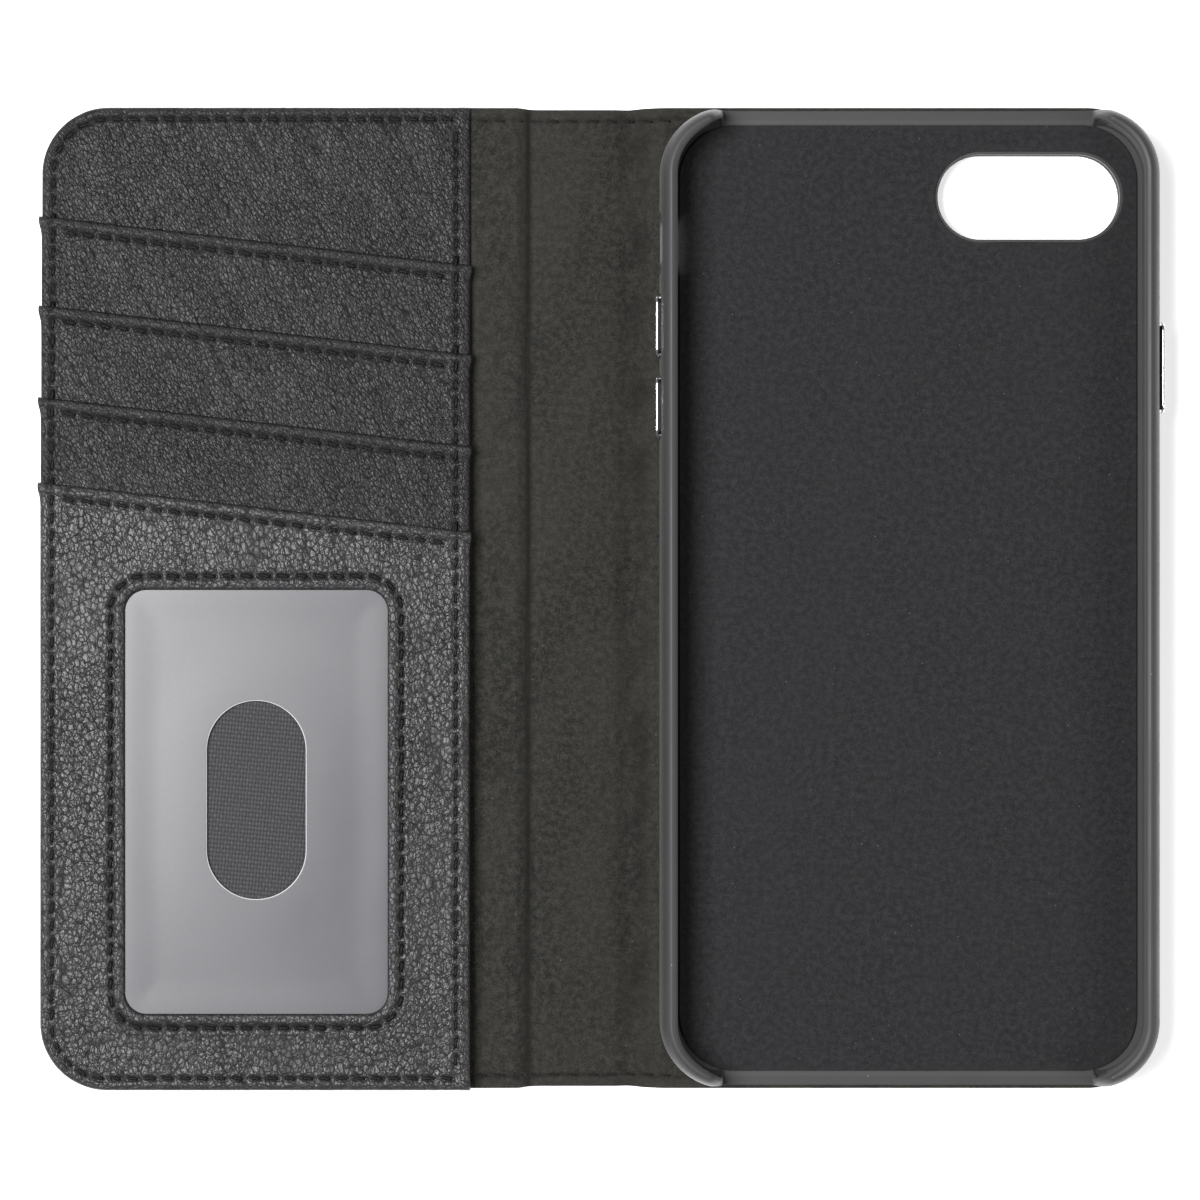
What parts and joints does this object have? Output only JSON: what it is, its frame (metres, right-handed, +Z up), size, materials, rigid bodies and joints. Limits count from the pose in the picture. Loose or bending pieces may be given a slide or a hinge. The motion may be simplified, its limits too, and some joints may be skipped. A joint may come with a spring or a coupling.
{
  "type": "phone wallet case",
  "caption": "Book-style phone wallet case lying open: leather cover with slanted card pockets and a frosted card window, a folding spine and a rimmed phone tray with side buttons.",
  "frame": {"origin": "centre of the open case, on the surface it lies on", "axes": "+X from the cover across the spine to the phone tray, +Y towards the earpiece end of the phone, +Z up, out of the pockets and the tray"},
  "size_m": [0.184, 0.1616, 0.0125],
  "materials": {
    "outer_leather": "grained charcoal, satin",
    "pocket_leather": "fine pebble grain, charcoal, satin",
    "lining": "suede microfibre, matte",
    "woven": "plain weave, matte",
    "film": "frosted",
    "thread": "waxed thread",
    "board": "plain stiffener sheet",
    "soft_touch": "soft-touch satin",
    "metal": "polished with bright bevel",
    "rubber": "matte"
  },
  "bodies": {
    "tray": {"back_leather": "outer_leather", "back_board": "board", "back_lining": "lining", "back_stitching": "thread", "spine_crease": "outer_leather", "tray_shell": "soft_touch", "tray_lining": "lining"},
    "spine": {"spine_leather": "outer_leather", "spine_stiffener": "board", "spine_lining": "lining", "spine_stitching": "thread", "cover_crease": "outer_leather"},
    "cover": {"cover_leather": "outer_leather", "cover_board": "board", "cover_lining": "lining", "pocket_backing": "pocket_leather", "card_pocket_first": "pocket_leather", "card_pocket_second": "pocket_leather", "card_pocket_third": "pocket_leather", "id_pocket": "pocket_leather", "id_window_film": "film", "pocket_fabric_first": "woven", "pocket_fabric_second": "woven", "pocket_fabric_third": "woven", "panel_stitching": "thread", "pocket_stitching": "thread", "window_stitching": "thread"},
    "volume_up_button": {"volume_up_cap": "metal", "volume_up_plunger": "rubber"},
    "volume_down_button": {"volume_down_cap": "metal", "volume_down_plunger": "rubber"},
    "power_button": {"power_cap": "metal", "power_plunger": "rubber"}
  },
  "joints": [
    {"name": "spine_fold", "type": "hinge", "parent": "tray", "child": "spine", "pos_m": [0.006, 0, 0.0008], "axis": [0, 1, 0], "range_deg": [-90, 90]},
    {"name": "cover_fold", "type": "hinge", "parent": "spine", "child": "cover", "pos_m": [-0.0119, 0, 0.0008], "axis": [0, 1, 0], "range_deg": [-90, 90]},
    {"name": "volume_up_press", "type": "slide", "parent": "tray", "child": "volume_up_button", "axis": [1, 0, 0], "range_m": [0, 0.00035], "stiffness_N_per_m": 1000},
    {"name": "volume_down_press", "type": "slide", "parent": "tray", "child": "volume_down_button", "axis": [1, 0, 0], "range_m": [0, 0.00035], "stiffness_N_per_m": 1000},
    {"name": "power_press", "type": "slide", "parent": "tray", "child": "power_button", "axis": [-1, 0, 0], "range_m": [0, 0.00035], "stiffness_N_per_m": 1000}
  ]
}
